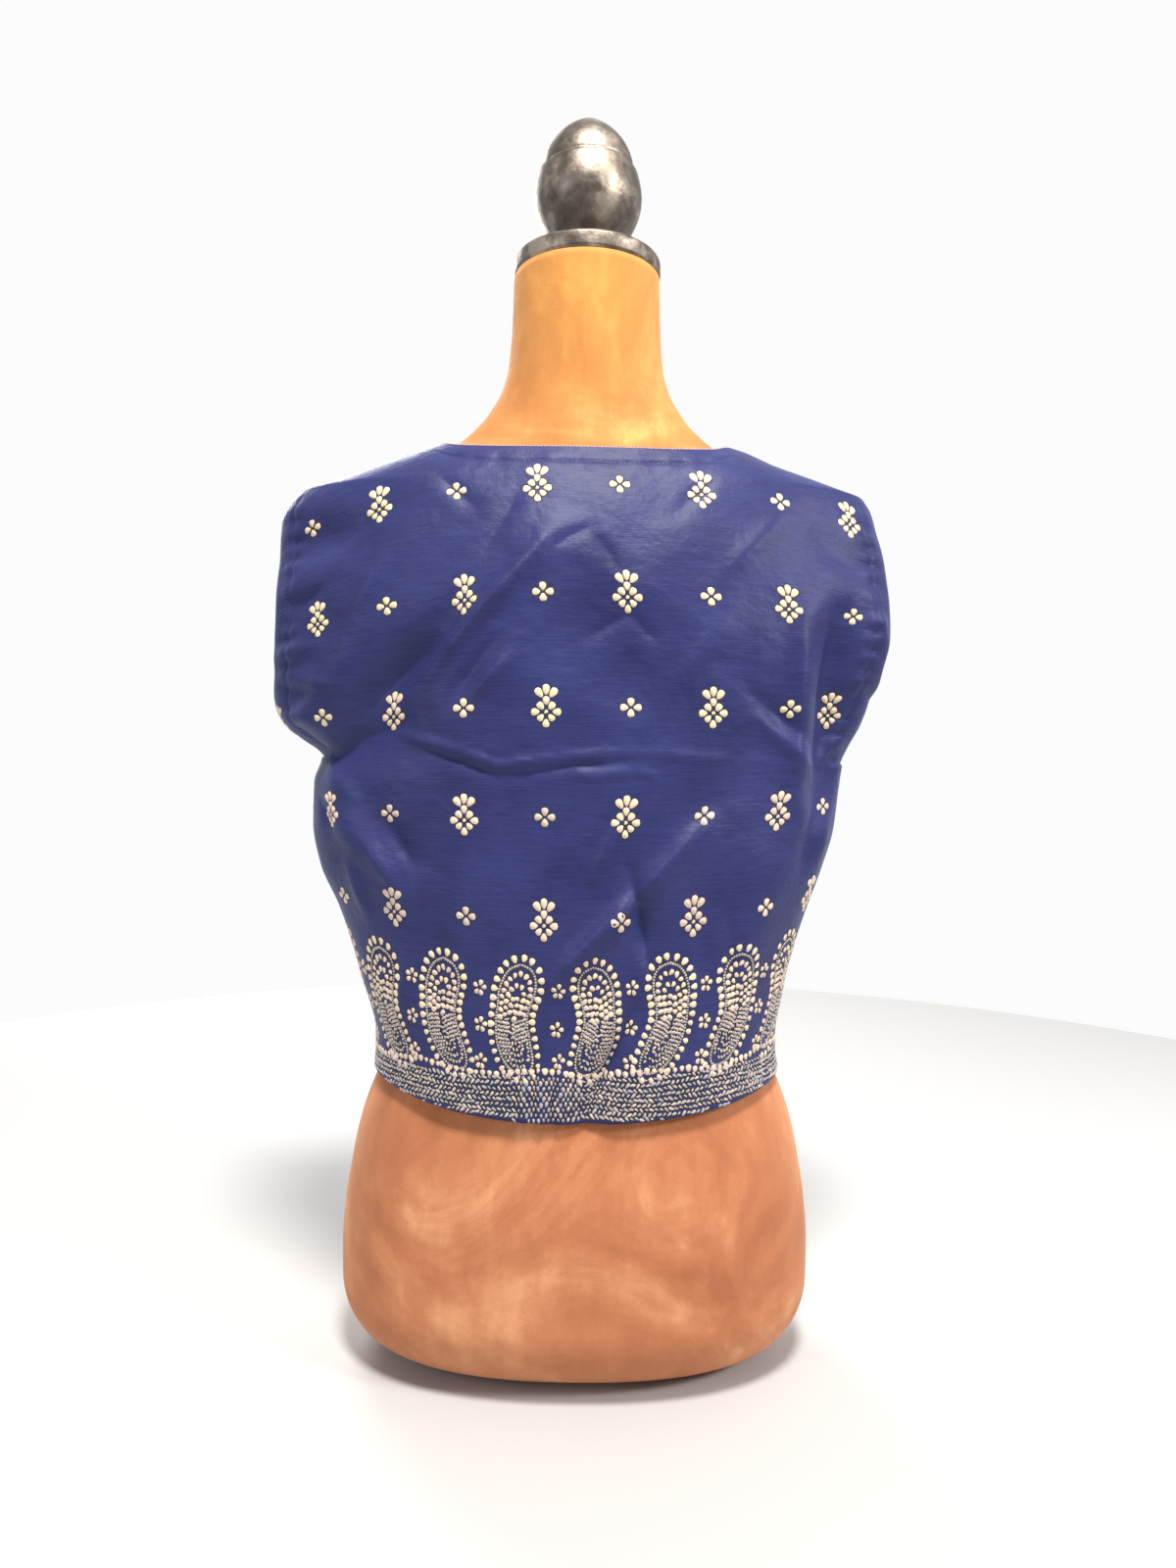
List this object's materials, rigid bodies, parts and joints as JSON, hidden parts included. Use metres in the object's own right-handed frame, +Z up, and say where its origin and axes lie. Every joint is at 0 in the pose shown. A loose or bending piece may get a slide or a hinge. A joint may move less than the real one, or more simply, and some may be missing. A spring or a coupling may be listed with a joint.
{
  "type": "crop top on a dress form",
  "caption": "Boxy brocade crop top with cap sleeves and a straight back neckline, on a limbless suede dress form with a turned metal neck cap.",
  "frame": {"origin": "middle of the dress form's flat underside", "axes": "+Z up along the form's neck; the garment's front faces -Y and its back +Y, so the wearer's left is +X"},
  "size_m": [0.4341, 0.2194, 0.8906],
  "materials": {
    "brocade": "satin-faced silk and cotton brocade, woven with cream and pale gold flowers, leaves and a paisley border",
    "facing": "plain weave cotton facing, pale pink",
    "suede": "brushed velvet with a short nap, tan",
    "metal": "dark hammered cast metal with worn high spots"
  },
  "bodies": {
    "root": {"form_torso": "suede", "cap_plate": "metal", "cap_finial": "metal", "back_panel": "brocade", "front_panel": "brocade", "neck_facing_back": "facing", "neck_facing_front": "facing", "sleeve_facing_left_back": "facing", "sleeve_facing_right_back": "facing", "sleeve_facing_left_front": "facing", "sleeve_facing_right_front": "facing"}
  },
  "joints": []
}
